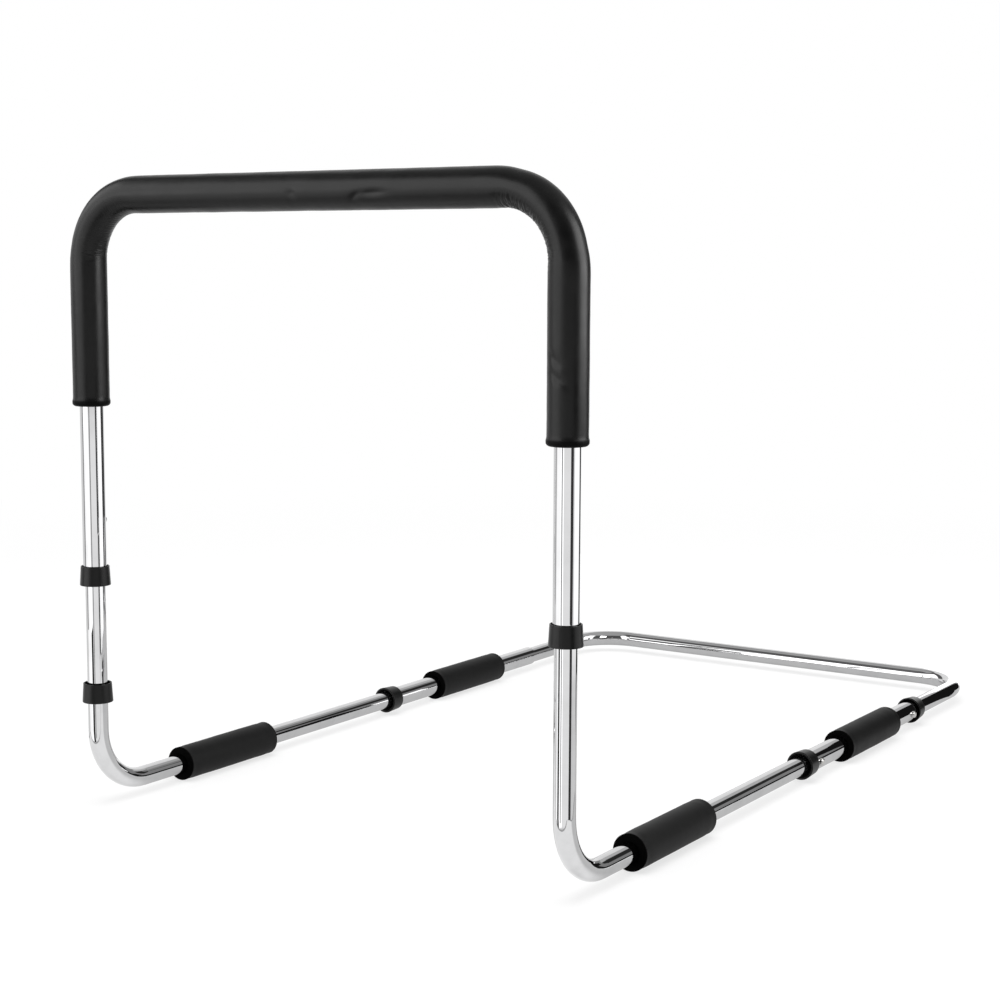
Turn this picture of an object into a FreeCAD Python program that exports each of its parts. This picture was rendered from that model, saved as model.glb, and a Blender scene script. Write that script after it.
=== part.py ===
import FreeCAD, Part
import os
import Sketcher
from FreeCAD import Placement, Rotation, Vector

# Bed assist rail: a padded hoop handle stands on two L-shaped legs whose long
# arms lie under the mattress and join, through two middle tubes, to a U-shaped
# rear frame.  Millimetres.  +Z up, +Y under the mattress, +X to the right seen
# from the room.  The origin is the middle of the bottom of the bounding box.

# ---------------------------------------------------------------- sizes

SIZES = {
    # overall frame, between tube centre lines
    "frame_width": 522.0,
    "rail_height": 563.3,
    "base_depth": 938.0,
    # tubes: the outer size slides over the inner size
    "outer_od": 22.2,
    "inner_od": 19.05,
    "wall": 1.5,
    "slide_gap": 0.075,
    # bend radii on the tube centre lines
    "hoop_bend": 60.0,
    "base_bend": 58.0,
    # foam
    "grip_od": 34.0,
    "sleeve_od": 34.2,
    "foam_gap": 0.05,
    "grip_end_left": 368.5,
    "grip_end_right": 359.5,
    "left_front_sleeve_start": 112.5,
    "right_front_sleeve_start": 108.3,
    "mid_sleeve_start": 554.3,
    "sleeve_length": 132.0,
    # collars at the mouths of the outer tubes
    "collar_length": 18.3,
    "collar_wide_od": 29.0,
    "collar_rim_od": 26.8,
    "collar_mouth_id": 25.6,
    "collar_rim_id": 24.4,
    "collar_seat": 6.0,
    "collar_rim_depth": 4.0,
    "collar_slide_gap": 0.09,
    "collar_edge": 0.5,
    "rear_collar_wide_od": 28.8,
    "rear_collar_narrow_od": 25.4,
    "rear_collar_mouth_id": 26.2,
    "rear_collar_seat": 15.3,
    # where the collars sit: heights above, and distances behind, the foot corner
    "leg_collar_height": 198.7,
    "loose_collar_height": 86.0,
    "mid_front_collar_start": 457.2,
    "mid_rear_collar_start": 751.8,
    # hidden ends of the inner tubes
    "leg_top": 400.0,
    "front_arm_end": 545.0,
    "rear_arm_start": 677.0,
    # snap buttons
    "button_hole": 8.2,
    "button_od": 7.6,
    "button_reach": 14.3,
    "button_round": 2.0,
    "button_flange_od": 8.8,
    "button_flange_top": 6.4,
    "button_flange_thick": 0.8,
    "rivet_od": 3.0,
    "rivet_hole": 3.2,
    "rivet_head_od": 4.8,
    "height_step": 25.4,
    "height_holes": 5.0,
    "lowest_height_hole": 234.5,
    "front_button": 485.0,
    "rear_button": 737.0,
    # folded leaf springs behind the buttons
    "leaf_thick": 0.8,
    "leaf_width": 6.0,
    "leaf_length": 38.0,
    "leaf_tip": 7.0,
    "leaf_land": 6.0,
    "leaf_back": 7.1,
    "leaf_back_end": 3.0,
    "leaf_fold_gap": 0.5,
}

LEFT, RIGHT = -1, 1
SIDES = (("left", LEFT), ("right", RIGHT))


class Dim:
    """A length that carries its value and the sheet expression it comes from."""

    def __init__(self, value, text):
        self.value = value
        self.text = text

    def __add__(self, other):
        other = as_dim(other)
        return Dim(self.value + other.value, f"({self.text} + {other.text})")

    def __sub__(self, other):
        other = as_dim(other)
        return Dim(self.value - other.value, f"({self.text} - {other.text})")

    def __mul__(self, other):
        other = as_dim(other)
        return Dim(self.value * other.value, f"({self.text} * {other.text})")

    def __truediv__(self, other):
        other = as_dim(other)
        return Dim(self.value / other.value, f"({self.text} / {other.text})")

    def __neg__(self):
        return self * -1


def as_dim(number):
    """A plain number as a Dim, so that both can be used in one sum."""
    if isinstance(number, Dim):
        return number
    return Dim(float(number), f"({float(number)})")


doc = FreeCAD.newDocument("bed_assist_rail")
sheet = doc.addObject("Spreadsheet::Sheet", "Sizes")
for row, (alias, number) in enumerate(SIZES.items(), start=1):
    sheet.set(f"A{row}", str(number))
    sheet.setAlias(f"A{row}", alias)
doc.recompute()

D = {alias: Dim(number, f"Sizes.{alias}") for alias, number in SIZES.items()}

outer_radius = D["outer_od"] / 2
inner_radius = D["inner_od"] / 2
outer_bore = inner_radius + D["slide_gap"]
inner_bore = inner_radius - D["wall"]
half_width = D["frame_width"] / 2

# the foot corner is where a leg's centre line meets its arm's centre line
foot_y = -(D["base_depth"] + inner_radius - D["grip_od"] / 2) / 2
foot_z = D["sleeve_od"] / 2

hoop_end = D["leg_collar_height"] + D["collar_seat"]
mid_tube_start = D["mid_front_collar_start"] + D["collar_seat"]
mid_tube_end = D["mid_rear_collar_start"] + D["rear_collar_seat"]
leg_button = D["lowest_height_hole"] + D["height_step"]

BACK = Vector(0, 1, 0)
UP = Vector(0, 0, 1)
ALONG_Z = Rotation()
ALONG_Y = Rotation(UP, BACK)

# ---------------------------------------------------------------- helpers


def outward(side):
    """The direction away from the middle of the frame, on one side."""
    return Vector(side, 0, 0)


def new_body(name, x=0, y=0, z=0, turn=ALONG_Z):
    """A body whose origin is x, y, z from the point below, on the foot corners' line."""
    body = doc.addObject("PartDesign::Body", name)
    body.Label = name
    spot = [as_dim(x), foot_y + y, foot_z + z]
    body.Placement = Placement(Vector(*[d.value for d in spot]), turn)
    for letter, dim in zip("xyz", spot):
        body.setExpression(f"Placement.Base.{letter}", dim.text)
    return body


def new_sketch(body, plane, name):
    """An empty sketch on one of the body's own origin planes."""
    sketch = body.newObject("Sketcher::SketchObject", f"{body.Name}_{name}")
    base = [f for f in body.Origin.OriginFeatures if f.Role == plane][0]
    sketch.AttachmentSupport = [(base, "")]
    sketch.MapMode = "FlatFace"
    return sketch


def pin_point(sketch, geo, end, x, y):
    """Fix a point of the sketch at x, y from its origin."""
    for kind, axis, dim in (("DistanceX", -2, x), ("DistanceY", -1, y)):
        dim = as_dim(dim)
        if dim.value == 0:
            sketch.addConstraint(Sketcher.Constraint("PointOnObject", geo, end, axis))
            continue
        made = sketch.addConstraint(
            Sketcher.Constraint(kind, -1, 1, geo, end, dim.value)
        )
        sketch.setExpression(f"Constraints[{made}]", dim.text)


def add_circle(sketch, radius, x=0, y=0):
    """A circle of a given radius centred x, y from the sketch's origin."""
    x, y = as_dim(x), as_dim(y)
    geo = sketch.addGeometry(
        Part.Circle(Vector(x.value, y.value, 0), UP, radius.value), False
    )
    pin_point(sketch, geo, 3, x, y)
    made = sketch.addConstraint(Sketcher.Constraint("Radius", geo, radius.value))
    sketch.setExpression(f"Constraints[{made}]", radius.text)


def add_polygon(sketch, corners):
    """A closed outline through the corners, each of them fixed."""
    corners = [(as_dim(x), as_dim(y)) for x, y in corners]
    spots = [Vector(x.value, y.value, 0) for x, y in corners]
    lines = [
        sketch.addGeometry(Part.LineSegment(a, b), False)
        for a, b in zip(spots, spots[1:] + spots[:1])
    ]
    for line, after in zip(lines, lines[1:] + lines[:1]):
        sketch.addConstraint(Sketcher.Constraint("Coincident", line, 2, after, 1))
    for line, (x, y) in zip(lines, corners):
        pin_point(sketch, line, 1, x, y)


def add_bent_path(sketch, corners, radius):
    """Square-cornered runs joined by tangent bends of one radius."""
    corners = [(as_dim(x), as_dim(y)) for x, y in corners]
    spots = [Vector(x.value, y.value, 0) for x, y in corners]
    runs = [(b - a).normalize() for a, b in zip(spots, spots[1:])]
    last = len(runs) - 1
    lines = []
    for i, run in enumerate(runs):
        start = spots[i] if i == 0 else spots[i] + run * radius.value
        end = spots[i + 1] if i == last else spots[i + 1] - run * radius.value
        lines.append(sketch.addGeometry(Part.LineSegment(start, end), False))
        square = "Vertical" if abs(run.x) < abs(run.y) else "Horizontal"
        sketch.addConstraint(Sketcher.Constraint(square, lines[-1]))
    for i, (a, b) in enumerate(zip(runs, runs[1:])):
        corner = spots[i + 1]
        centre = corner - a * radius.value + b * radius.value
        middle = centre + (corner - centre).normalize() * radius.value
        bend = Part.Arc(corner - a * radius.value, middle, corner + b * radius.value)
        geo = sketch.addGeometry(bend, False)
        ends = (1, 2) if a.cross(b).z > 0 else (2, 1)
        tangent = Sketcher.Constraint("Tangent", lines[i], 2, geo, ends[0])
        sketch.addConstraint(tangent)
        tangent = Sketcher.Constraint("Tangent", geo, ends[1], lines[i + 1], 1)
        sketch.addConstraint(tangent)
        made = sketch.addConstraint(Sketcher.Constraint("Radius", geo, radius.value))
        sketch.setExpression(f"Constraints[{made}]", radius.text)
    for i, line in enumerate(lines[1:-1], start=1):
        level = corners[i][1] if runs[i].y == 0 else corners[i][0]
        kind = "DistanceY" if runs[i].y == 0 else "DistanceX"
        made = sketch.addConstraint(
            Sketcher.Constraint(kind, -1, 1, line, 1, level.value)
        )
        sketch.setExpression(f"Constraints[{made}]", level.text)
    pin_point(sketch, lines[0], 1, *corners[0])
    pin_point(sketch, lines[-1], 2, *corners[-1])


def bent_tube(body, planes, corners, bend, outside, inside):
    """A round tube swept along a bent path that starts at the body's origin."""
    path = new_sketch(body, planes[0], "path")
    add_bent_path(path, corners, bend)
    ring = new_sketch(body, planes[1], "ring")
    add_circle(ring, outside)
    add_circle(ring, inside)
    doc.recompute()
    sweep = body.newObject("PartDesign::AdditivePipe", f"{body.Name}_sweep")
    sweep.Profile = ring
    sweep.Spine = (path, [f"Edge{n + 1}" for n in range(path.GeometryCount)])
    path.Visibility = False
    doc.recompute()


def straight_tube(body, length, outside, inside):
    """A round tube along the body's own Z, from its origin."""
    ring = new_sketch(body, "XY_Plane", "ring")
    add_circle(ring, outside)
    add_circle(ring, inside)
    doc.recompute()
    pad = body.newObject("PartDesign::Pad", f"{body.Name}_pad")
    pad.Profile = ring
    pad.Length = length.value
    pad.setExpression("Length", length.text)
    doc.recompute()


def lathe(body, corners):
    """A solid turned about the body's own Z from an outline of (radius, height)."""
    outline = new_sketch(body, "XZ_Plane", "outline")
    add_polygon(outline, corners)
    doc.recompute()
    turned = body.newObject("PartDesign::Revolution", f"{body.Name}_turned")
    turned.Profile = outline
    turned.ReferenceAxis = (outline, ["V_Axis"])
    turned.Angle = 360.0
    doc.recompute()
    return turned


def round_rims(body, rims, radius):
    """Fillet the circular edges named by (radius, height) about the body's own Z."""
    turned = body.Tip
    names = []
    for n, edge in enumerate(turned.Shape.Edges, start=1):
        curve = edge.Curve
        if not isinstance(curve, Part.Circle):
            continue
        for rim_radius, height in rims:
            near = abs(curve.Radius - rim_radius.value) < 1e-4
            if near and abs(curve.Center.z - as_dim(height).value) < 1e-4:
                names.append(f"Edge{n}")
    fillet = body.newObject("PartDesign::Fillet", f"{body.Name}_rims")
    fillet.Base = (turned, names)
    fillet.Radius = radius.value
    fillet.setExpression("Radius", radius.text)
    doc.recompute()


def cut_holes(body, plane, centres, towards, diameter, offset=0):
    """Round holes through the one wall that faces towards, in the body's own axes.

    The sketch lies on a plane through the tube's centre line, so a pocket cuts
    only the wall on its own side.
    """
    offset = as_dim(offset)
    before = body.Tip.Shape.Volume
    holes = new_sketch(body, plane, f"holes{len(body.Group)}")
    holes.AttachmentOffset = Placement(Vector(0, 0, offset.value), Rotation())
    holes.setExpression("AttachmentOffset.Base.z", offset.text)
    for x, y in centres:
        add_circle(holes, diameter / 2, x, y)
    doc.recompute()
    pocket = body.newObject("PartDesign::Pocket", f"{body.Name}_cut{len(body.Group)}")
    pocket.Profile = holes
    pocket.Length = D["outer_od"].value
    pocket.setExpression("Length", D["outer_od"].text)
    normal = holes.Placement.Rotation.multVec(UP)
    pocket.Reversed = normal.dot(towards) > 0
    doc.recompute()
    if not body.Tip.Shape.Volume < before:
        raise ValueError(f"no hole was cut in {body.Label}")


# ---------------------------------------------------------------- tubes


def make_handle_tube():
    """The hoop: two outer-size legs and the top bar, with a row of height holes."""
    body = new_body("handle_tube", -half_width, 0, hoop_end)
    top = D["rail_height"] - hoop_end
    corners = [(0, 0), (0, top), (D["frame_width"], top), (D["frame_width"], 0)]
    planes = ("XZ_Plane", "XY_Plane")
    bent_tube(body, planes, corners, D["hoop_bend"], outer_radius, outer_bore)
    centres = []
    for step in range(int(SIZES["height_holes"])):
        height = D["lowest_height_hole"] + D["height_step"] * step - hoop_end
        centres += [(0, height), (D["frame_width"], height)]
    cut_holes(body, "XZ_Plane", centres, BACK, D["button_hole"])


def make_leg_tube(name, side):
    """One leg: up inside the hoop, round the foot bend and back along the arm."""
    body = new_body(name, half_width * side, 0, D["leg_top"])
    corners = [(0, 0), (0, -D["leg_top"]), (D["front_arm_end"], -D["leg_top"])]
    planes = ("YZ_Plane", "XY_Plane")
    bent_tube(body, planes, corners, D["base_bend"], inner_radius, inner_bore)
    upright = [(0, leg_button - D["leg_top"])]
    cut_holes(body, "XZ_Plane", upright, BACK, D["button_hole"])
    arm = [(D["front_button"], -D["leg_top"])]
    cut_holes(body, "YZ_Plane", arm, outward(side), D["button_hole"])


def make_mid_tube(name, side):
    """One middle tube: outer size, sleeved over the arms in front and behind."""
    body = new_body(name, half_width * side, mid_tube_start, 0, ALONG_Y)
    straight_tube(body, mid_tube_end - mid_tube_start, outer_radius, outer_bore)
    centres = [
        (0, D["front_button"] - mid_tube_start),
        (0, D["rear_button"] - mid_tube_start),
    ]
    cut_holes(body, "YZ_Plane", centres, outward(side), D["button_hole"])


def make_rear_frame():
    """The rear U: two short arms and the crossbar at the far side of the bed base."""
    body = new_body("rear_frame_tube", -half_width, D["rear_arm_start"], 0)
    reach = D["base_depth"] - D["rear_arm_start"]
    corners = [(0, 0), (0, reach), (D["frame_width"], reach), (D["frame_width"], 0)]
    planes = ("XY_Plane", "XZ_Plane")
    bent_tube(body, planes, corners, D["base_bend"], inner_radius, inner_bore)
    along = D["rear_button"] - D["rear_arm_start"]
    for side, arm_x in ((LEFT, 0), (RIGHT, D["frame_width"])):
        towards = outward(side)
        cut_holes(body, "YZ_Plane", [(along, 0)], towards, D["button_hole"], arm_x)


# ---------------------------------------------------------------- foam


def make_grip():
    """The padded cover over the top bar, both bends and part of each upright."""
    body = new_body("handle_foam_grip", -half_width, 0, D["grip_end_left"])
    top = D["rail_height"] - D["grip_end_left"]
    right_end = D["grip_end_right"] - D["grip_end_left"]
    corners = [(0, 0), (0, top), (D["frame_width"], top), (D["frame_width"], right_end)]
    bore = outer_radius + D["foam_gap"]
    planes = ("XZ_Plane", "XY_Plane")
    bent_tube(body, planes, corners, D["hoop_bend"], D["grip_od"] / 2, bore)


def make_sleeve(name, side, start, tube_radius):
    """One base sleeve, which keeps the arm off the bed base and stops it sliding."""
    body = new_body(name, half_width * side, start, 0, ALONG_Y)
    bore = tube_radius + D["foam_gap"]
    straight_tube(body, D["sleeve_length"], D["sleeve_od"] / 2, bore)


# ---------------------------------------------------------------- collars

collar_bore = inner_radius + D["collar_slide_gap"]


def make_collar(name, side, y, z, turn):
    """A tapered collar: a wide mouth round the inner tube, a thin rim round the outer."""
    body = new_body(name, half_width * side, y, z, turn)
    length = D["collar_length"]
    rim_floor = length - D["collar_rim_depth"]
    outline = [
        (D["collar_wide_od"] / 2, 0),
        (D["collar_rim_od"] / 2, length),
        (D["collar_rim_id"] / 2, length),
        (D["collar_rim_id"] / 2, rim_floor),
        (outer_radius, rim_floor),
        (outer_radius, D["collar_seat"]),
        (collar_bore, D["collar_seat"]),
        (collar_bore, D["collar_rim_depth"]),
        (D["collar_mouth_id"] / 2, 0),
    ]
    lathe(body, outline)
    rims = [outline[0], outline[1], outline[2], outline[8]]
    round_rims(body, rims, D["collar_edge"])


def make_rear_collar():
    """The one collar behind a middle tube: its wide mouth takes the outer tube."""
    start = D["mid_rear_collar_start"]
    body = new_body("right_mid_rear_collar", half_width, start, 0, ALONG_Y)
    length = D["collar_length"]
    outline = [
        (D["rear_collar_wide_od"] / 2, 0),
        (D["rear_collar_narrow_od"] / 2, length),
        (collar_bore, length),
        (collar_bore, D["rear_collar_seat"]),
        (outer_radius, D["rear_collar_seat"]),
        (outer_radius, D["collar_rim_depth"]),
        (D["rear_collar_mouth_id"] / 2, 0),
    ]
    lathe(body, outline)
    round_rims(body, [outline[0], outline[1], outline[6]], D["collar_edge"])


# ---------------------------------------------------------------- snap buttons


def facing(out, along):
    """A turn that takes own Z to out and own X to along."""
    return Rotation(along, out.cross(along), out, "ZXY")


def make_button(name, x, y, z, out, along):
    """A domed pin with a flange under the tube wall and a rivet tail through the leaf."""
    body = new_body(name, x, y, z, facing(out, along))
    flange_top = D["button_flange_top"]
    seat = flange_top - D["button_flange_thick"]
    rivet_top = seat - D["leaf_thick"]
    rivet_end = rivet_top - D["leaf_thick"]
    outline = [
        (0, rivet_end),
        (D["rivet_head_od"] / 2, rivet_end),
        (D["rivet_head_od"] / 2, rivet_top),
        (D["rivet_od"] / 2, rivet_top),
        (D["rivet_od"] / 2, seat),
        (D["button_flange_od"] / 2, seat),
        (D["button_flange_od"] / 2, flange_top),
        (D["button_od"] / 2, flange_top),
        (D["button_od"] / 2, D["button_reach"]),
        (0, D["button_reach"]),
    ]
    lathe(body, outline)
    round_rims(body, [outline[8]], D["button_round"])


def make_leaf(name, x, y, z, out, along):
    """A folded strip: a sprung upper leaf that carries the button, and a lower one."""
    body = new_body(name, x, y, z, facing(out, along))
    thick = D["leaf_thick"]
    seat = D["button_flange_top"] - D["button_flange_thick"]
    back = -D["leaf_back"]
    inner_fold = thick / 2 - D["leaf_length"]
    outline = [
        (D["leaf_tip"], seat),
        (-D["leaf_land"], seat),
        (-D["leaf_length"], back + thick * 2 + D["leaf_fold_gap"]),
        (-D["leaf_length"] - thick, back + thick),
        (-D["leaf_length"], back),
        (D["leaf_back_end"], back),
        (D["leaf_back_end"], back + thick),
        (inner_fold, back + thick),
        (inner_fold, back + thick + D["leaf_fold_gap"]),
        (-D["leaf_land"], seat - thick),
        (D["leaf_tip"], seat - thick),
    ]
    profile = new_sketch(body, "XZ_Plane", "profile")
    add_polygon(profile, outline)
    doc.recompute()
    strip = body.newObject("PartDesign::Pad", f"{body.Name}_strip")
    strip.Profile = profile
    strip.Length = D["leaf_width"].value
    strip.setExpression("Length", D["leaf_width"].text)
    strip.Midplane = True
    doc.recompute()
    cut_holes(body, "XY_Plane", [(0, 0)], UP, D["rivet_hole"])


def make_catches():
    """A button and its leaf at each of the six telescoping joints."""
    for side_name, side in SIDES:
        x = half_width * side
        catches = (
            ("leg", 0, leg_button, BACK, UP),
            ("front", D["front_button"], 0, outward(side), BACK),
            ("rear", D["rear_button"], 0, outward(side), -BACK),
        )
        for place, y, z, out, along in catches:
            make_button(f"{side_name}_{place}_snap_button", x, y, z, out, along)
            make_leaf(f"{side_name}_{place}_leaf_spring", x, y, z, out, along)


# ---------------------------------------------------------------- build


def make_side(side_name, side):
    """The tubes, sleeves and collars of one side."""
    make_leg_tube(f"{side_name}_leg_tube", side)
    make_mid_tube(f"{side_name}_mid_tube", side)
    front, middle = D[f"{side_name}_front_sleeve_start"], D["mid_sleeve_start"]
    make_sleeve(f"{side_name}_front_foam", side, front, inner_radius)
    make_sleeve(f"{side_name}_mid_foam", side, middle, outer_radius)
    make_collar(f"{side_name}_leg_collar", side, 0, D["leg_collar_height"], ALONG_Z)
    start = D["mid_front_collar_start"]
    make_collar(f"{side_name}_mid_front_collar", side, start, 0, ALONG_Y)


def check_everything():
    """Stop if any object failed to build or any body is not one valid solid."""
    for thing in doc.Objects:
        if "Invalid" in thing.State or "Error" in thing.State:
            raise ValueError(f"{thing.Label} did not build: {thing.State}")
    for body in doc.findObjects("PartDesign::Body"):
        if body.Shape.isNull() or not body.Shape.isValid():
            raise ValueError(f"{body.Label} has no valid shape")
        if len(body.Shape.Solids) != 1:
            raise ValueError(f"{body.Label} is not one solid")


make_handle_tube()
make_grip()
for side_name, side in SIDES:
    make_side(side_name, side)
make_collar("left_loose_collar", LEFT, 0, D["loose_collar_height"], ALONG_Z)
make_rear_collar()
make_rear_frame()
make_catches()
doc.recompute()
check_everything()

os.makedirs("parts", exist_ok=True)
for body in doc.findObjects("PartDesign::Body"):
    body.Shape.exportStep(f"parts/{body.Label}.step")
    print(body.Label, round(body.Shape.Volume, 1))
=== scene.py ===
"""Looks of the bed assist rail: foam grip and sleeves, chrome, plastic, studio light and camera.

The tubes, collars, buttons and springs are the CAD solids with new materials.
The foam grip and the four foam sleeves are built here. Lengths are in metres.
"""

import math

import bmesh
import bpy
from mathutils import Matrix, Vector, noise


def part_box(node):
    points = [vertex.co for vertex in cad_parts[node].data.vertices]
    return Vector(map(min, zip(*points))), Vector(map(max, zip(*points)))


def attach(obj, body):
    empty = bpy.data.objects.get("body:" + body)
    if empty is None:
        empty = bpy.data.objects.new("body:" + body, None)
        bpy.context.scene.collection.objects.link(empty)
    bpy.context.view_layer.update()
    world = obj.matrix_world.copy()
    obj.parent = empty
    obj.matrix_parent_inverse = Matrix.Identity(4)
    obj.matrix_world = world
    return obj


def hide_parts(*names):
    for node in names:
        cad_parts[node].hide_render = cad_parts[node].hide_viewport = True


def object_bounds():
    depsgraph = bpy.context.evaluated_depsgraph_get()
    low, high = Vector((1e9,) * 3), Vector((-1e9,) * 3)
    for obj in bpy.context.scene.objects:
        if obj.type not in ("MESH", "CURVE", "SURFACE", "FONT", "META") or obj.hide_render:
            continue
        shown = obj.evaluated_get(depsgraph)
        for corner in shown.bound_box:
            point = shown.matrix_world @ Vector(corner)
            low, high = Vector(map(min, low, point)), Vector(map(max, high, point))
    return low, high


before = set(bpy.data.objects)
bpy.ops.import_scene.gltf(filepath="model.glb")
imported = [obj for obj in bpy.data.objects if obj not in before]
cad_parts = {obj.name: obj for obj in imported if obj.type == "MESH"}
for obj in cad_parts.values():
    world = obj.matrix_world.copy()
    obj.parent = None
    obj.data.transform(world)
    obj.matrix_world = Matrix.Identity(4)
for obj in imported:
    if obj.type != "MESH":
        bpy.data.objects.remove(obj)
cad_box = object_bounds()
MM = 0.001

# --------------------------------------------------------------------------- sizes

GRIP_NODE = "handle_foam_grip"
BEND_RADIUS = 60.0 * MM            # centre line of the hoop's two corners
LEFT_END_RISE = 9.0 * MM           # the left end of the grip stops this much higher
FOAM_CLEARANCE = 0.05 * MM         # between a tube and the foam round it
AROUND = 96                        # points round a foam ring
GRIP_STEP = 1.6 * MM               # distance between rings on a straight stretch
BEND_STEP = 0.65 * MM              # and round a corner, where the wrinkles are
GRIP_LIP = 3.6 * MM                # rounding of the grip's ends
SLEEVE_LIP = 1.0 * MM              # rounding of the sleeves' cut ends
SLEEVE_STEP = 2.0 * MM
LIP_TURNS = (90, 72, 54, 36, 18)   # the rings that round an end, in degrees
BORE_STEP = 4.0 * MM
BORE_INSET = 0.6 * MM              # the first ring of the bore lies this far in

LEFT_THINNING = 0.9 * MM           # the stretched outside of a corner is thinner
RIGHT_THINNING = 1.8 * MM
INSIDE_THINNING = 0.15             # share of it that reaches the inside of the corner
BEND_FADE = 14.0 * MM              # over this length beside each corner
FLARE_HEIGHT = 0.75 * MM           # the grip's ends swell a little
FLARE_LENGTH = 4.5 * MM
SHADED_RIM_WIDTH = 4.5 * MM               # painted shade: a dark rim beside each end of the grip
SHADED_RIM_FADE = 2.5 * MM                # it fades out over this length
WAVE_HEIGHT = 0.16 * MM            # slow unevenness of the foam
WAVE_LENGTH = 26.0 * MM
RIPPLE_HEIGHT = 0.05 * MM          # quick unevenness
RIPPLE_LENGTH = 6.0 * MM
PINCH_DEPTH = 0.25 * MM            # a sleeve is pinched in slightly behind its cut ends
PINCH_PLACE = 6.0 * MM
PINCH_LENGTH = 4.0 * MM

FOLD_SPACING = 2.9 * MM            # crosswise wrinkles inside a corner
FOLD_WANDER = 7.0 * MM             # they wander over this length
FOLD_CHANGE = 3.0 * MM             # and grow and shrink over this one
LINE_SPACING = 1.3 * MM            # fine lines across the grip's skin
LEFT_FOLD_DEPTH = 0.30 * MM
RIGHT_FOLD_DEPTH = 1.00 * MM

# Pressed marks: member, place along it, angle round it in degrees, length, width, depth and
# tilt in degrees. Places are x along the bar and z up the right leg. Angles start on the
# outside of the hoop and turn towards the front.
DENTS = [
    ("bar", 0.0805, 101.0, 13.0 * MM, 3.4 * MM, 1.80 * MM, 3.0),
    ("bar", 0.0610, 112.0, 7.0 * MM, 2.6 * MM, 1.10 * MM, 34.0),
    ("bar", -0.0055, 98.0, 4.6 * MM, 4.6 * MM, 1.10 * MM, 0.0),
    ("right", 0.4450, 98.0, 9.5 * MM, 3.6 * MM, 1.00 * MM, 50.0),
    ("right", 0.4305, 89.0, 9.0 * MM, 3.2 * MM, 1.10 * MM, 52.0),
]

# each sleeve and the body that carries it
SLEEVES = {
    "left_front_foam": "leg_frame",
    "right_front_foam": "leg_frame",
    "left_mid_foam": "left_mid",
    "right_mid_foam": "right_mid",
}


# --------------------------------------------------------------------------- small helpers

def smooth(value, start, end):
    """0 before start, 1 after end and an even curve between."""
    share = min(1.0, max(0.0, (value - start) / (end - start)))
    return share * share * (3.0 - 2.0 * share)


def steps(start, end, spacing):
    """Evenly spaced places from start up to, but not including, end."""
    count = max(1, round((end - start) / spacing))
    return [start + (end - start) * i / count for i in range(count)]


def bore_radius(node):
    """Radius of the hole through a foam node, found from the points of its mesh."""
    low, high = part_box(node)
    axis_x, axis_z = (low.x + high.x) / 2, (low.z + high.z) / 2
    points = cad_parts[node].data.vertices
    return min(math.hypot(p.co.x - axis_x, p.co.z - axis_z) for p in points)


# --------------------------------------------------------------------------- foam tubes

class HoopLine:
    """Centre line of the handle: up the left leg, round a corner, along the bar and down."""

    def __init__(self, node):
        low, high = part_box(node)
        self.radius = (high.y - low.y) / 2
        self.y = (high.y + low.y) / 2
        self.leg_x = high.x - self.radius
        self.top_z = high.z - self.radius
        self.left_end_z = low.z + LEFT_END_RISE
        self.right_end_z = low.z
        self.corner_z = self.top_z - BEND_RADIUS
        arc = BEND_RADIUS * math.pi / 2
        bar = 2 * (self.leg_x - BEND_RADIUS)
        self.marks = [0.0]
        for length in (self.corner_z - self.left_end_z, arc, bar, arc,
                       self.corner_z - self.right_end_z):
            self.marks.append(self.marks[-1] + length)
        self.length = self.marks[-1]

    def at(self, s):
        """Point, direction away from the inside of the hoop, and direction to the front."""
        corner_x = self.leg_x - BEND_RADIUS
        bend_start, bar_start, bar_end, bend_end = self.marks[1:5]
        front = Vector((0, -1, 0))
        if s <= bend_start:
            point = Vector((-self.leg_x, self.y, self.left_end_z + s))
            return point, Vector((-1, 0, 0)), front
        if s <= bar_start:
            turn = (s - bend_start) / BEND_RADIUS
            away = Vector((-math.cos(turn), 0, math.sin(turn)))
            corner = Vector((-corner_x, self.y, self.corner_z))
            return corner + away * BEND_RADIUS, away, front
        if s <= bar_end:
            point = Vector((-corner_x + s - bar_start, self.y, self.top_z))
            return point, Vector((0, 0, 1)), front
        if s <= bend_end:
            turn = (s - bar_end) / BEND_RADIUS
            away = Vector((math.sin(turn), 0, math.cos(turn)))
            corner = Vector((corner_x, self.y, self.corner_z))
            return corner + away * BEND_RADIUS, away, front
        point = Vector((self.leg_x, self.y, self.corner_z - (s - bend_end)))
        return point, Vector((1, 0, 0)), front

    def bend_shares(self, s):
        """For the left and the right corner: 1 in it, fading to 0 on the straight stretches."""
        shares = []
        for first, last in ((self.marks[1], self.marks[2]), (self.marks[3], self.marks[4])):
            inside = smooth(s, first - BEND_FADE, first + BEND_FADE)
            shares.append(inside * (1.0 - smooth(s, last - BEND_FADE, last + BEND_FADE)))
        return shares

    def place(self, member, where):
        """Distance along the line of a place given as x on the bar or z on the right leg."""
        if member == "bar":
            return self.marks[2] + where + self.leg_x - BEND_RADIUS
        return self.marks[4] + self.corner_z - where


def fold_depth(s, angle, seed):
    """Share of a wrinkle's depth: valleys between sharp ridges that wander and join."""
    drift = noise.noise(Vector((s / FOLD_WANDER, angle * 1.4, seed))) * 1.2
    height = noise.noise(Vector((s / FOLD_CHANGE, angle * 2.2, seed + 5.0)))
    valley = abs(math.sin(math.pi * (s / FOLD_SPACING + drift)))
    return valley ** 0.8 * (0.60 + 0.8 * height)


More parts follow.
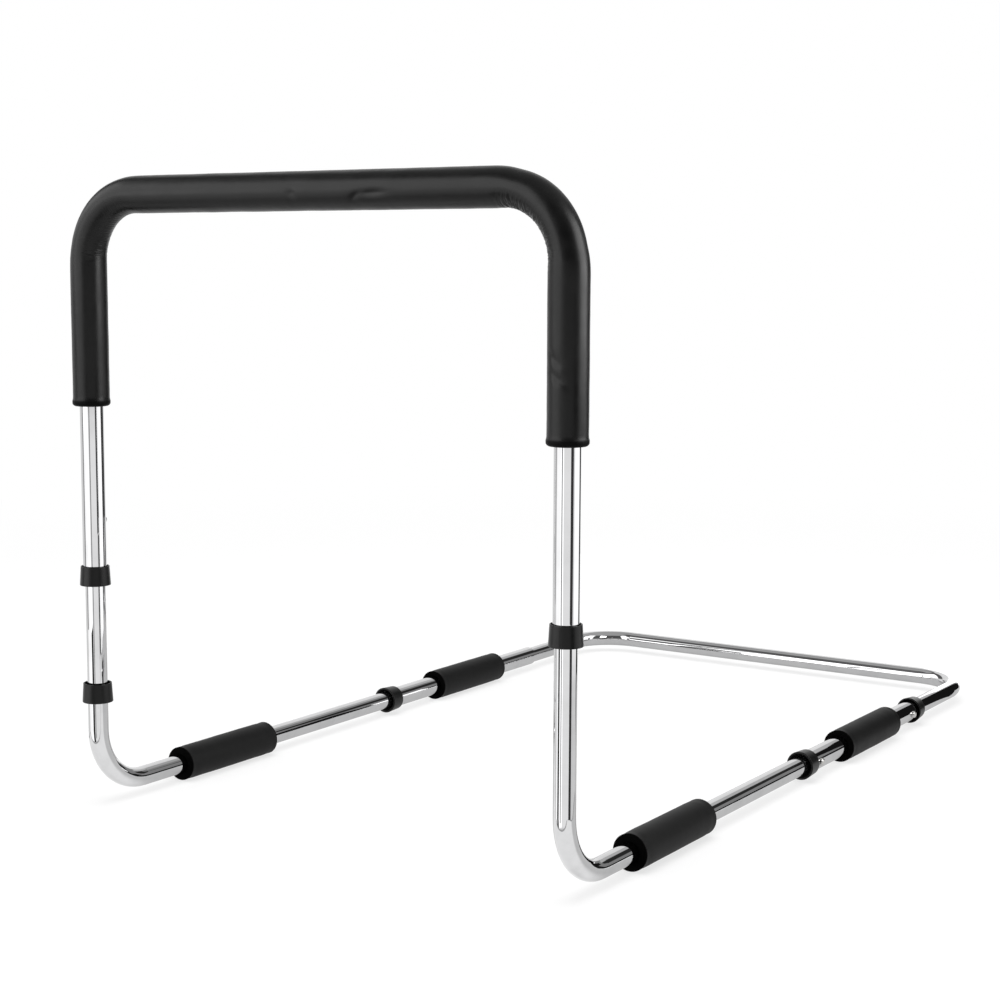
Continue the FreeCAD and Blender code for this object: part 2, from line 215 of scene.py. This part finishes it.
def grip_radius(line, dents, s, angle):
    """Radius of the grip's skin at a place along the line and an angle round it."""
    radius = line.radius
    outside = math.cos(angle)
    left_bend, right_bend = line.bend_shares(s)
    thinning = LEFT_THINNING * left_bend ** 2 + RIGHT_THINNING * right_bend ** 2
    radius -= thinning * (INSIDE_THINNING + (1.0 - INSIDE_THINNING) * max(0.0, outside))
    inner = smooth(-outside, 0.05, 0.85)
    radius -= LEFT_FOLD_DEPTH * left_bend * inner * fold_depth(s, angle, 2.0)
    radius -= RIGHT_FOLD_DEPTH * right_bend * inner * fold_depth(s, angle, 9.0)
    end_distance = min(s, line.length - s)
    radius += FLARE_HEIGHT * (1.0 - smooth(end_distance, GRIP_LIP, GRIP_LIP + FLARE_LENGTH))
    radius += unevenness(s, angle, 0.0)
    for place, dent_angle, length, width, depth, tilt in dents:
        along, across = s - place, (angle - dent_angle) * line.radius
        if abs(along) > 2.5 * length:
            continue
        u = along * math.cos(tilt) - across * math.sin(tilt)
        v = along * math.sin(tilt) + across * math.cos(tilt)
        radius -= depth * math.exp(-(u / length) ** 2 - abs(v / width) ** 1.5)
    return radius


def unevenness(s, angle, seed):
    """Slow and quick waves in a foam skin."""
    around = Vector((math.cos(angle), math.sin(angle), 0.0))
    slow = noise.noise(around * 0.9 + Vector((0.0, seed, s / WAVE_LENGTH)))
    quick = noise.noise(around * 2.6 + Vector((seed, 0.0, s / RIPPLE_LENGTH)))
    return WAVE_HEIGHT * slow + RIPPLE_HEIGHT * quick


def ring_list(places, length, lip):
    """Rings of a closed foam tube as (place, inset, share of the way to the bore).

    The outer skin runs from the first lip to the last, and the bore runs back."""
    turns = [math.radians(turn) for turn in LIP_TURNS]
    start_lip = [(lip * (1 - math.sin(turn)), lip * (1 - math.cos(turn)), 0.0) for turn in turns]
    rings = [(0.0, lip, 0.5)] + start_lip
    rings += [(s, 0.0, 0.0) for s in places if lip <= s <= length - lip]
    rings += [(length - s, inset, share) for s, inset, share in reversed(start_lip)]
    rings += [(length, lip, 0.5)]
    rings += [(s, lip, 1.0) for s in reversed(steps(BORE_INSET, length, BORE_STEP))]
    return rings


def foam_tube(name, rings, place_at, radius_at, shaded_rim_share, bore, material):
    """A closed foam tube swept along a centre line.

    Its points carry their distance along it and a share that marks a cut end and, on the grip,
    the painted shade beside each end."""
    mesh = bpy.data.meshes.new(name)
    build = bmesh.new()
    rows, along, cut_and_shade = [], [], []
    for s, inset, share in rings:
        centre, away, front = place_at(s)
        row = []
        for i in range(AROUND):
            angle = 2 * math.pi * i / AROUND
            radius = (radius_at(s, angle) - inset) * (1 - share) + bore * share
            direction = away * math.cos(angle) + front * math.sin(angle)
            row.append(build.verts.new(centre + direction * radius))
            along.append(s)
            # on the grip, the share beside an end is painted shade
            cut_and_shade.append(1.0 if inset > 0.0 else shaded_rim_share(s))
        rows.append(row)
    for row, next_row in zip(rows, rows[1:] + rows[:1]):
        for i in range(AROUND):
            j = (i + 1) % AROUND
            build.faces.new((row[i], row[j], next_row[j], next_row[i]))
    bmesh.ops.recalc_face_normals(build, faces=build.faces)
    build.to_mesh(mesh)
    build.free()
    for attribute, values in (("along", along), ("cut_and_shade", cut_and_shade)):
        mesh.attributes.new(attribute, "FLOAT", "POINT").data.foreach_set("value", values)
    mesh.polygons.foreach_set("use_smooth", [True] * len(mesh.polygons))
    mesh.materials.append(material)
    piece = bpy.data.objects.new(name, mesh)
    bpy.context.scene.collection.objects.link(piece)
    return piece


def make_grip(material):
    """The padded grip round the top and sides of the handle."""
    line = HoopLine(GRIP_NODE)
    dents = []
    for member, where, angle, length, width, depth, tilt in DENTS:
        dents.append((line.place(member, where), math.radians(angle), length, width, depth,
                      math.radians(tilt)))
    places = []
    spacings = (GRIP_STEP, BEND_STEP, GRIP_STEP, BEND_STEP, GRIP_STEP)
    for first, last, spacing in zip(line.marks, line.marks[1:], spacings):
        places += steps(first, last, spacing)
    low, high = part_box("handle_tube")
    bore = (high.y - low.y) / 2 + FOAM_CLEARANCE

    def radius_at(s, angle):
        return grip_radius(line, dents, s, angle)

    # painted shade: the dark rim beside each end of the grip
    def shaded_rim_share(s):
        end_distance = min(s, line.length - s)
        return 1.0 - smooth(end_distance, SHADED_RIM_WIDTH, SHADED_RIM_WIDTH + SHADED_RIM_FADE)

    grip = foam_tube("foam_grip", ring_list(places, line.length, GRIP_LIP), line.at,
                     radius_at, shaded_rim_share, bore, material)
    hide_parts(GRIP_NODE)
    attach(grip, "handle")
    return grip


def make_sleeve(node, body, seed, material):
    """One foam sleeve on the base. Its ends are cut square and it rests on the floor."""
    low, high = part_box(node)
    centre_x, centre_z = (low.x + high.x) / 2, (low.z + high.z) / 2
    radius, length = (high.x - low.x) / 2, high.y - low.y

    def place_at(s):
        return (Vector((centre_x, low.y + s, centre_z)), Vector((0, 0, 1)), Vector((1, 0, 0)))

    def radius_at(s, angle):
        skin = radius - WAVE_HEIGHT + unevenness(s, angle, seed)
        end_distance = min(s, length - s)
        skin -= PINCH_DEPTH * math.exp(-((end_distance - PINCH_PLACE) / PINCH_LENGTH) ** 2)
        below = -math.cos(angle)
        if below > 0:
            # the underside never sinks into the floor
            skin = min(skin, radius / max(0.2, below))
        return skin

    # the sleeves have no painted shade beside their ends
    def shaded_rim_share(s):
        return 0.0

    rings = ring_list(steps(0.0, length, SLEEVE_STEP), length, SLEEVE_LIP)
    sleeve = foam_tube(node + "_skin", rings, place_at, radius_at, shaded_rim_share,
                       bore_radius(node), material)
    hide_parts(node)
    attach(sleeve, body)
    return sleeve


# --------------------------------------------------------------------------- node helpers

class Graph:
    """Adds shader nodes to a tree and joins them."""

    def __init__(self, tree):
        self.tree = tree
        tree.nodes.clear()

    def add(self, kind, inputs=None, **settings):
        node = self.tree.nodes.new(kind)
        for key, value in settings.items():
            setattr(node, key, value)
        for key, value in (inputs or {}).items():
            self.feed(node.inputs[key], value)
        return node

    def feed(self, socket, value):
        if isinstance(value, bpy.types.NodeSocket):
            self.tree.links.new(value, socket)
        else:
            socket.default_value = value

    def own_place(self):
        """Position in the object's own axes, in metres."""
        return self.add("ShaderNodeTexCoord").outputs["Object"]

    def attribute(self, name):
        """A number that the mesh's points carry."""
        return self.add("ShaderNodeAttribute", attribute_name=name).outputs["Fac"]

    def math(self, operation, *values):
        node = self.add("ShaderNodeMath", operation=operation)
        for socket, value in zip(node.inputs, values):
            self.feed(socket, value)
        return node.outputs[0]

    def ramp(self, value, start, end, low=0.0, high=1.0):
        """A smooth rise from low to high while value goes from start to end."""
        node = self.add("ShaderNodeMapRange", interpolation_type="SMOOTHSTEP")
        for socket, number in zip(node.inputs, (value, start, end, low, high)):
            self.feed(socket, number)
        return node.outputs[0]

    def mix(self, share, first, second):
        """First where share is 0 and second where it is 1."""
        node = self.add("ShaderNodeMix", data_type="FLOAT")
        for key, value in zip(("Factor", "A", "B"), (share, first, second)):
            self.feed(node.inputs[key], value)
        return node.outputs[0]

    def noise(self, vector, scale, detail=2.0, roughness=0.5, stretch=(1.0, 1.0, 1.0)):
        """Noise from 0 to 1. Scale is in waves per metre, before the stretch."""
        scaled = self.add("ShaderNodeVectorMath", {0: vector, 1: stretch},
                          operation="MULTIPLY").outputs[0]
        node = self.add("ShaderNodeTexNoise", {"Vector": scaled, "Scale": scale,
                                               "Detail": detail, "Roughness": roughness})
        return node.outputs["Fac"]

    def grey(self, value):
        return self.add("ShaderNodeCombineColor",
                        {"Red": value, "Green": value, "Blue": value}).outputs[0]

    def tint(self, value, colour):
        """A grey level multiplied by a colour."""
        parts = [self.math("MULTIPLY", value, level) for level in colour]
        keys = ("Red", "Green", "Blue")
        return self.add("ShaderNodeCombineColor", dict(zip(keys, parts))).outputs[0]

    def bump(self, height, distance, strength=1.0, normal=None):
        inputs = {"Height": height, "Distance": distance, "Strength": strength}
        if normal is not None:
            inputs["Normal"] = normal
        return self.add("ShaderNodeBump", inputs).outputs[0]

    def surface(self, output_kind, shader):
        """Ends the tree with an output of this kind, fed by a shader node."""
        output = self.add(output_kind)
        self.tree.links.new(shader.outputs[0], output.inputs["Surface"])


def new_material(name):
    material = bpy.data.materials.new(name)
    material.use_nodes = True
    return material, Graph(material.node_tree)


def finish_material(graph, **inputs):
    """Adds the surface shader. Underscores in a name stand for spaces."""
    shader = graph.add("ShaderNodeBsdfPrincipled",
                       {key.replace("_", " "): value for key, value in inputs.items()})
    graph.surface("ShaderNodeOutputMaterial", shader)


# --------------------------------------------------------------------------- materials

def chrome_material():
    """Bright chrome on drawn tube: faint waves, hairlines along the tube and light smears."""
    material, g = new_material("chrome_plate")
    place = g.own_place()
    waves = g.noise(place, 45.0, detail=1.0)
    hairs_up = g.noise(place, 60.0, detail=3.0, stretch=(30.0, 30.0, 1.0))
    hairs_back = g.noise(place, 60.0, detail=3.0, stretch=(30.0, 1.0, 30.0))
    smears = g.noise(place, 30.0, detail=5.0, roughness=0.65)
    pits = g.noise(place, 1500.0, detail=1.0)
    hairs = g.math("MAXIMUM", g.ramp(hairs_up, 0.66, 0.80), g.ramp(hairs_back, 0.66, 0.80))
    normal = g.bump(waves, 0.05 * MM, 1.0)
    normal = g.bump(hairs, 0.01 * MM, 0.1, normal)
    rough = g.mix(g.ramp(smears, 0.45, 0.75), 0.015, 0.045)
    rough = g.math("MULTIPLY_ADD", hairs, 0.05, rough)
    rough = g.math("MULTIPLY_ADD", g.ramp(pits, 0.72, 0.85), 0.1, rough)
    level = g.mix(g.ramp(smears, 0.35, 0.75), 0.66, 0.60)
    finish_material(g, Base_Color=g.tint(level, (1.0, 1.0, 1.01)), Metallic=1.0,
                    Roughness=rough, Normal=normal)
    return material


def grip_material():
    """Smooth skin of a closed-cell foam grip: satin black, faintly pebbled, fine cross lines,
    with painted shade that blackens its ends.
    """
    material, g = new_material("foam_skin")
    place = g.own_place()
    along = g.attribute("along")
    cut_and_shade = g.attribute("cut_and_shade")
    pebbles = g.noise(place, 1600.0, detail=2.0)
    blotches = g.noise(place, 55.0, detail=4.0, roughness=0.6)
    wander = g.math("MULTIPLY", g.noise(place, 300.0), 3.0)
    lines = g.math("SINE", g.math("MULTIPLY_ADD", along, 2 * math.pi / LINE_SPACING, wander))
    height = g.math("MULTIPLY_ADD", lines, 0.15, pebbles)
    level = g.mix(g.ramp(blotches, 0.35, 0.70), 0.0008, 0.0018)
    # painted shade: the grip's rounded ends and the rim beside them are near black and less
    # shiny
    level = g.mix(cut_and_shade, level, 0.0008)
    rough = g.mix(g.ramp(blotches, 0.3, 0.7), 0.31, 0.38)
    rough = g.mix(cut_and_shade, rough, 0.50)
    finish_material(g, Base_Color=g.grey(level), Roughness=rough,
                    Specular_IOR_Level=g.mix(cut_and_shade, 0.26, 0.06),
                    Normal=g.bump(height, 0.03 * MM, 0.35))
    return material


def sleeve_material():
    """Foam sleeves of the base: matt black skin and very dark cut ends with open cells."""
    material, g = new_material("foam_sleeve_skin")
    place = g.own_place()
    cut_and_shade = g.attribute("cut_and_shade")
    pebbles = g.noise(place, 1300.0, detail=2.0)
    cells = g.add("ShaderNodeTexVoronoi", {"Vector": place, "Scale": 1400.0}).outputs["Distance"]
    blotches = g.noise(place, 70.0, detail=4.0, roughness=0.6)
    level = g.mix(g.ramp(blotches, 0.35, 0.70), 0.0018, 0.0032)
    level = g.mix(cut_and_shade, level, 0.0008)
    rough = g.mix(cut_and_shade, g.mix(blotches, 0.48, 0.60), 0.95)
    height = g.mix(cut_and_shade, pebbles, cells)
    finish_material(g, Base_Color=g.grey(level), Roughness=rough,
                    Specular_IOR_Level=g.mix(cut_and_shade, 0.21, 0.04),
                    Normal=g.bump(height, 0.06 * MM, 0.4))
    return material


def collar_material():
    """Moulded collars: satin black plastic with a fine texture, and a painted highlight that
    lightens their edges in patches.
    """
    material, g = new_material("collar_moulding")
    place = g.own_place()
    texture = g.noise(place, 2600.0, detail=2.0)
    blotches = g.noise(place, 160.0, detail=4.0, roughness=0.65)
    rounded = g.add("ShaderNodeBevel", {"Radius": 0.5 * MM}, samples=4).outputs[0]
    straight = g.add("ShaderNodeNewGeometry").outputs["Normal"]
    match = g.add("ShaderNodeVectorMath", {0: rounded, 1: straight},
                  operation="DOT_PRODUCT").outputs["Value"]
    # painted highlight: the edges, in patches, are made much lighter
    edge = g.math("MULTIPLY", g.ramp(match, 0.97, 0.80), g.ramp(blotches, 0.35, 0.60))
    level = g.mix(edge, g.mix(blotches, 0.0020, 0.0040), 0.02)
    rough = g.mix(edge, g.mix(blotches, 0.26, 0.38), 0.30)
    finish_material(g, Base_Color=g.grey(level), Roughness=rough,
                    Specular_IOR_Level=0.24, Normal=g.bump(texture, 0.02 * MM, 0.3))
    return material


def button_material():
    """Polished steel domes of the snap buttons, with rubbed rings."""
    material, g = new_material("button_polish")
    place = g.own_place()
    smears = g.noise(place, 500.0, detail=4.0)
    scratches = g.noise(place, 900.0, detail=3.0, stretch=(1.0, 1.0, 9.0))
    rough = g.mix(g.ramp(smears, 0.4, 0.7), 0.08, 0.20)
    finish_material(g, Base_Color=g.tint(g.mix(smears, 0.70, 0.60), (1.0, 0.99, 0.97)),
                    Metallic=1.0, Roughness=rough, Normal=g.bump(scratches, 0.01 * MM, 0.5))
    return material


def spring_material():
    """Rolled spring steel: grey, brushed along the strip, with a thin film of oil."""
    material, g = new_material("spring_strip")
    place = g.own_place()
    brushed = g.noise(place, 300.0, detail=4.0, stretch=(12.0, 1.0, 12.0))
    film = g.noise(place, 120.0, detail=3.0)
    level = g.mix(g.ramp(film, 0.3, 0.7), 0.42, 0.30)
    finish_material(g, Base_Color=g.tint(level, (1.0, 0.97, 0.93)), Metallic=1.0,
                    Roughness=g.mix(brushed, 0.25, 0.42), Normal=g.bump(brushed, 0.02 * MM, 0.4))
    return material


def dress_cad_nodes(finishes):
    """Gives each carried-over CAD node the finish of its record slot."""
    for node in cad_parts.values():
        slot_name = node.material_slots[0].material.name
        if slot_name in finishes:
            node.material_slots[0].material = finishes[slot_name]


# --------------------------------------------------------------------------- studio

FLOOR_SIZE = 60.0
SHEET_TONES = (0.87, 0.90)         # darkest and lightest tone of the sheet's mottle
SHEET_FADE = (0.7, 2.4)            # it fades into the background between these distances
SHEET_GLOW = 0.72                  # share of the white background in the sheet's own white
SHADED_MIRRORED_SHEET = 0.68              # the sheet's share of its brightness in the chrome, painted shade round the object
MIRRORED_FRONT = 1.05              # and in front of the feet
FOOT_SHADE = 0.05                  # the change lies this far behind the hoop's front
EDGE_SHADOW_WIDTH = 0.015                 # painted shadow under the sheet's edge, seen only in the chrome
EDGE_SHADOW_LEVEL = 0.45
SHEET_MARGIN = 0.22                # chrome mirrors the floor this far round the object
FRONT_MARGIN = 0.11                # and this far in front of it

# Walls, cards and gaps that the chrome mirrors: azimuth from and to (0 is +Y, 90 is +X),
# elevation from and to, edge softness (all in degrees) and brightness. Later rows cover
# earlier ones.
STUDIO = [
    ("upper room", -60, 300, 3, 95, 5, 0.12),
    ("upper left card", 214, 276, 3, 42, 6, 2.10),
    ("upper middle card", 188, 205, 5, 48, 5, 3.60),
    ("upper right card", 46, 88, 3, 50, 6, 2.05),
    ("side wall", 108, 176, -30, -4, 3, 1.10),
    ("wall left of camera", 200, 242, -30, -3, 3, 1.50),
    ("wall behind camera", 176, 204, -30, -3, 3, 1.75),
    ("card behind camera", 186, 242, -4, 10, 3, 3.20),
    ("right wall", 84, 108, -30, 3, 3, 0.95),
    ("right card", 30, 84, -12, 24, 4, 1.60),
    ("right wall low", 0, 88, -30, -12, 3, 0.85),
    ("left wall", 242, 300, -30, 12, 5, 0.90),
    ("far left card", -60, -12, 0, 45, 4, 0.98),
    ("far left wall low", -60, -4, -30, 0, 3, 1.10),
    ("ceiling", -60, 300, 50, 95, 6, 0.48),
    ("ceiling gap", 215, 252, 42, 66, 8, 0.13),
    ("far ceiling", -12, 60, 40, 56, 4, 0.50),
    ("far room", -12, 47, 2, 42, 3, 0.28),
    ("far room back", -12, 8, 20, 42, 4, 0.60),
    ("far room beam", 8, 35, 20, 33, 1.5, 0.03),
    ("far room rail", 38, 50, 4, 9, 1.5, 0.03),
    ("far room skirting", 12, 46, -1, 6, 1, 0.005),
    ("far gap", 3, 25, -30, 8, 2, 0.02),
    ("floor far off", -60, 300, -95, -27, 4, 0.80),
]
REST_OF_STUDIO = 0.9               # brightness where no row applies
SEAM = -60.0                       # azimuths are counted from here

# Upright cards and flags near the object that are only mirrored: where each starts and
# ends on the floor, its bottom, its top and its brightness.
CARDS = [
    ("key_card", (-1.25, -1.61), (-0.30, -1.61), 0.42, 1.80, 2.6),
    ("side_card", (0.70, -0.43), (0.70, 0.058), 0.42, 1.00, 6.0),
    ("lamp_stand", (-0.02, -1.546), (0.14, -1.546), -0.40, 0.50, 0.26),
    ("dark_panel", (0.90, -0.81), (0.977, -0.522), 0.10, 0.45, 0.05),
    ("dark_panel_foot", (0.905, -0.710), (0.982, -0.422), -0.40, 0.10, 0.05),
    ("left_panel", (-0.642, -0.796), (-0.718, -0.678), 0.08, 0.50, 0.38),
    ("low_panel", (-0.441, -1.184), (-0.159, -1.286), -0.60, 0.03, 0.03),
    ("rear_flag", (0.28, 0.60), (0.52, 0.60), 0.0, 0.30, 0.01),
    ("rear_card", (0.16, 0.60), (0.262, 0.60), 0.0, 0.13, 1.8),
    ("low_flag", (0.279, 0.43), (0.62, 0.43), 0.0, 0.065, 0.01),
]

LAMP_PLACE = (0.3, -0.4, 3.2)
LAMP_SIZE = 2.6
LAMP_POWER = 84.0


def band(g, value, start, end, edge):
    """1 between start and end, with soft edges."""
    rise = g.ramp(value, start - edge / 2, start + edge / 2)
    fall = g.ramp(value, end - edge / 2, end + edge / 2)
    return g.math("SUBTRACT", rise, fall)


def build_world():
    """White to the camera, and the studio's walls, cards and gaps to everything else."""
    world = bpy.data.worlds.new("studio")
    bpy.context.scene.world = world
    world.use_nodes = True
    g = Graph(world.node_tree)
    direction = g.add("ShaderNodeTexCoord").outputs["Generated"]
    parts = g.add("ShaderNodeSeparateXYZ", {0: direction})
    turn = g.math("ARCTAN2", parts.outputs["X"], parts.outputs["Y"])
    azimuth = g.math("SUBTRACT", g.math("DEGREES", turn), SEAM)
    azimuth = g.math("ADD", g.math("WRAP", azimuth, 360.0, 0.0), SEAM)
    elevation = g.math("DEGREES", g.math("ARCSINE", parts.outputs["Z"]))
    level = REST_OF_STUDIO
    for _, az_from, az_to, el_from, el_to, edge, brightness in STUDIO:
        inside = g.math("MULTIPLY", band(g, azimuth, az_from, az_to, edge),
                        band(g, elevation, el_from, el_to, edge))
        level = g.mix(inside, level, brightness)
    seen = g.add("ShaderNodeLightPath").outputs["Is Camera Ray"]
    level = g.mix(seen, level, 1.0)
    g.surface("ShaderNodeOutputWorld", g.add("ShaderNodeBackground", {"Color": g.grey(level)}))


def floor_material():
    """Pale sheet that fades into the white background and is mirrored only near the object; in
    the chrome it carries painted shade behind the hoop's front and a painted shadow along its
    edge.
    """
    material, g = new_material("pale_floor")
    position = g.add("ShaderNodeNewGeometry").outputs["Position"]
    parts = g.add("ShaderNodeSeparateXYZ", {0: position})
    x, y = parts.outputs["X"], parts.outputs["Y"]
    distance = g.math("SQRT", g.math("ADD", g.math("POWER", x, 2.0), g.math("POWER", y, 2.0)))
    low, high = cad_box
    shade_start = low.y + FOOT_SHADE
    beyond = g.math("SUBTRACT", g.math("ABSOLUTE", x), high.x + SHEET_MARGIN)
    beyond = g.math("MAXIMUM", beyond, g.math("SUBTRACT", y, high.y + SHEET_MARGIN))
    beyond = g.math("MAXIMUM", beyond, g.math("SUBTRACT", low.y - FRONT_MARGIN, y))
    mirrored = g.add("ShaderNodeLightPath").outputs["Is Glossy Ray"]
    # painted shade: in the chrome the sheet is darker behind the hoop's front
    share = g.ramp(y, shade_start, shade_start + FOOT_SHADE, MIRRORED_FRONT, SHADED_MIRRORED_SHEET)
    dimmed = g.mix(mirrored, 1.0, share)
    # painted shadow along the sheet's edge, only in the chrome
    in_edge_shadow = g.math("MULTIPLY", mirrored, g.math("GREATER_THAN", beyond, -EDGE_SHADOW_WIDTH))
    dimmed = g.math("MULTIPLY", dimmed, g.mix(in_edge_shadow, 1.0, EDGE_SHADOW_LEVEL))
    mottle = g.mix(g.noise(position, 14.0, detail=4.0), *SHEET_TONES)
    sheet_level = g.math("MULTIPLY", mottle, dimmed)
    sheet = g.add("ShaderNodeBsdfDiffuse", {"Color": g.grey(sheet_level)}).outputs[0]
    white = g.add("ShaderNodeEmission", {"Color": g.grey(dimmed)}).outputs[0]
    fade = g.ramp(distance, *SHEET_FADE, SHEET_GLOW, 1.0)
    near = g.add("ShaderNodeMixShader", {0: fade, 1: sheet, 2: white}).outputs[0]
    hidden = g.math("MULTIPLY", mirrored, g.math("GREATER_THAN", beyond, 0.0))
    clear = g.add("ShaderNodeBsdfTransparent").outputs[0]
    final = g.add("ShaderNodeMixShader", {0: hidden, 1: near, 2: clear})
    g.surface("ShaderNodeOutputMaterial", final)
    return material


def build_floor():
    """A wide level sheet under the object."""
    mesh = bpy.data.meshes.new("floor")
    half = FLOOR_SIZE / 2
    corners = [(-half, -half, 0), (half, -half, 0), (half, half, 0), (-half, half, 0)]
    mesh.from_pydata(corners, [], [(0, 1, 2, 3)])
    mesh.materials.append(floor_material())
    floor = bpy.data.objects.new("floor", mesh)
    bpy.context.scene.collection.objects.link(floor)


def glow_material(name, level):
    """An even glow for the cards round the object."""
    material, g = new_material(name)
    glow = g.add("ShaderNodeEmission", {"Color": (1.0, 1.0, 1.0, 1.0), "Strength": level})
    g.surface("ShaderNodeOutputMaterial", glow)
    return material


def add_card(name, start, end, bottom, top, level):
    """An upright card that is only mirrored: it casts no light or shadow and isn't seen."""
    mesh = bpy.data.meshes.new(name)
    corners = [(*start, bottom), (*end, bottom), (*end, top), (*start, top)]
    mesh.from_pydata(corners, [], [(0, 1, 2, 3)])
    mesh.materials.append(glow_material(name, level))
    card = bpy.data.objects.new(name, mesh)
    bpy.context.scene.collection.objects.link(card)
    card.visible_camera = False
    card.visible_diffuse = False
    card.visible_shadow = False


def build_lamp():
    """A large soft lamp overhead that isn't mirrored in the chrome."""
    lamp = bpy.data.lights.new("overhead", "AREA")
    lamp.shape = "DISK"
    lamp.size = LAMP_SIZE
    lamp.energy = LAMP_POWER
    holder = bpy.data.objects.new("overhead", lamp)
    bpy.context.scene.collection.objects.link(holder)
    holder.location = LAMP_PLACE
    holder.rotation_mode = "QUATERNION"
    holder.rotation_quaternion = (-Vector(LAMP_PLACE)).to_track_quat("-Z", "Y")
    holder.visible_glossy = False
    holder.visible_camera = False


# --------------------------------------------------------------------------- camera

CAMERA_PLACE = Vector((1.0497, -1.7648, 0.5206))
CAMERA_YAW = 33.262                # degrees to the left of +Y
CAMERA_PITCH = -7.018              # degrees, downwards
CAMERA_ROLL = 0.250                # degrees
CAMERA_LENS = 69.440               # millimetres, on the sensor below
SENSOR_WIDTH = 36.0


def build_camera():
    """The camera, at the angle of a person standing in front and to the right."""
    data = bpy.data.cameras.new("view")
    data.lens = CAMERA_LENS
    data.sensor_width = SENSOR_WIDTH
    data.clip_start = 0.05
    data.clip_end = 100.0
    camera = bpy.data.objects.new("view", data)
    bpy.context.scene.collection.objects.link(camera)
    turn = Matrix.Rotation(math.radians(CAMERA_YAW), 4, "Z")
    tilt = Matrix.Rotation(math.radians(90.0 + CAMERA_PITCH), 4, "X")
    roll = Matrix.Rotation(math.radians(CAMERA_ROLL), 4, "Z")
    camera.matrix_world = Matrix.Translation(CAMERA_PLACE) @ turn @ tilt @ roll
    bpy.context.scene.camera = camera


# --------------------------------------------------------------------------- build

sleeve_finish = sleeve_material()
dress_cad_nodes({
    "chrome_tube": chrome_material(),
    "collar_plastic": collar_material(),
    "button_steel": button_material(),
    "spring_steel": spring_material(),
})
make_grip(grip_material())
for number, (sleeve_node, sleeve_body) in enumerate(SLEEVES.items()):
    make_sleeve(sleeve_node, sleeve_body, 20.0 + 10.0 * number, sleeve_finish)

build_world()
build_floor()
for card in CARDS:
    add_card(*card)
build_lamp()
build_camera()
bpy.context.scene.view_settings.view_transform = "Standard"
